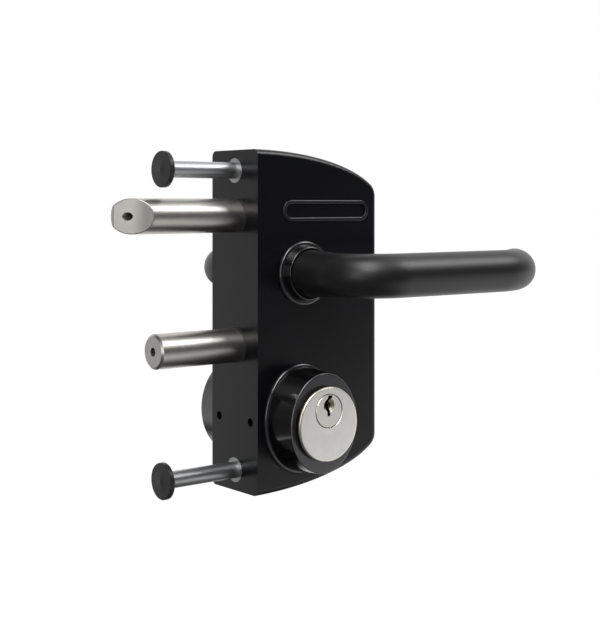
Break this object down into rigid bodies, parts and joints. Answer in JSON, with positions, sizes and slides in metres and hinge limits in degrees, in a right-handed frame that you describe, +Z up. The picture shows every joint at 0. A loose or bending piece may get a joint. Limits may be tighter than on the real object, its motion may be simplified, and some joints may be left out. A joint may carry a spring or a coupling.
{
  "type": "gate lock",
  "caption": "Surface-mounted gate lock that clamps a square tube: round latch and dead bolts, lever handles and keyed cylinders on both faces of a slim black case.",
  "frame": {"origin": "middle of the case face that meets the gate tube", "axes": "+X from the tube into the case, the way the levers point; -Y towards the front; +Z up"},
  "size_m": [0.2135, 0.1529, 0.166],
  "materials": {
    "case_black": "satin black powder coat on cast aluminium",
    "trim_black": "smooth gloss black on turned and cast aluminium",
    "lever_black": "fine matte black coat",
    "bolt_steel": "turned and brushed stainless steel",
    "cylinder_nickel": "satin nickel, brushed upright on the face",
    "plug_nickel": "satin nickel, brushed, brass where it is cut",
    "pin_brass": "turned brass",
    "bush_brass": "turned bearing bronze",
    "cap_black": "moulded black plastic",
    "zinc_steel": "zinc-plated steel",
    "spring_steel": "drawn spring steel"
  },
  "bodies": {
    "case": {"case_body": "case_black", "front_cover": "case_black", "case_screws": "zinc_steel", "front_rose": "trim_black", "front_lever_bush": "bush_brass", "front_cylinder": "cylinder_nickel", "front_driver_pins": "pin_brass", "front_collar": "trim_black", "rear_rose": "trim_black", "rear_lever_bush": "bush_brass", "rear_cylinder": "cylinder_nickel", "rear_driver_pins": "pin_brass", "rear_collar": "trim_black", "latch_guide": "cap_black", "dead_bolt_guide": "cap_black", "cylinder_set_screws": "zinc_steel", "fixing_bushes": "zinc_steel", "fixing_screws": "zinc_steel", "fixing_caps": "cap_black", "detent_spring": "spring_steel", "detent_screw": "zinc_steel", "lever_return_spring": "spring_steel", "latch_spring": "spring_steel"},
    "levers": {"front_lever": "lever_black", "rear_lever": "lever_black", "lever_grub_screws": "zinc_steel", "handle_spindle": "zinc_steel", "follower": "zinc_steel"},
    "latch": {"latch_bolt": "bolt_steel", "latch_carriage": "zinc_steel"},
    "dead_bolt": {"dead_bolt": "bolt_steel", "dead_bolt_carriage": "zinc_steel"},
    "front_plug": {"front_plug": "plug_nickel", "front_key_pins": "pin_brass", "front_cam": "zinc_steel", "front_cam_screws": "zinc_steel"},
    "rear_plug": {"rear_plug": "plug_nickel", "rear_key_pins": "pin_brass", "rear_cam": "zinc_steel", "rear_cam_screws": "zinc_steel"}
  },
  "joints": [
    {"name": "lever_turn", "type": "hinge", "parent": "case", "child": "levers", "pos_m": [0.028, 0, 0.0228], "axis": [0, 1, 0], "range_deg": [0, 45], "stiffness_Nm_per_rad": 0.9, "springref_deg": -28.65, "deforming": ["lever_return_spring"]},
    {"name": "latch_slide", "type": "slide", "parent": "case", "child": "latch", "axis": [1, 0, 0], "range_m": [0, 0.022], "deforming": ["latch_spring"]},
    {"name": "front_plug_turn", "type": "hinge", "parent": "case", "child": "front_plug", "pos_m": [0.026, 0, -0.0418], "axis": [0, -1, 0], "range_deg": [0, 360]},
    {"name": "dead_bolt_throw", "type": "slide", "parent": "case", "child": "dead_bolt", "axis": [-1, 0, 0], "range_m": [0, 0.02], "deforming": ["detent_spring"]},
    {"name": "rear_plug_turn", "type": "hinge", "parent": "case", "child": "rear_plug", "pos_m": [0.026, 0, -0.0418], "axis": [0, 1, 0], "range_deg": [0, 360]}
  ],
  "couplings": [
    {"joint": "latch_slide", "follows": "lever_turn", "m_per_rad": 0.0275},
    {"joint": "front_plug_turn", "follows": "dead_bolt_throw", "rad_per_m": 314.1}
  ]
}
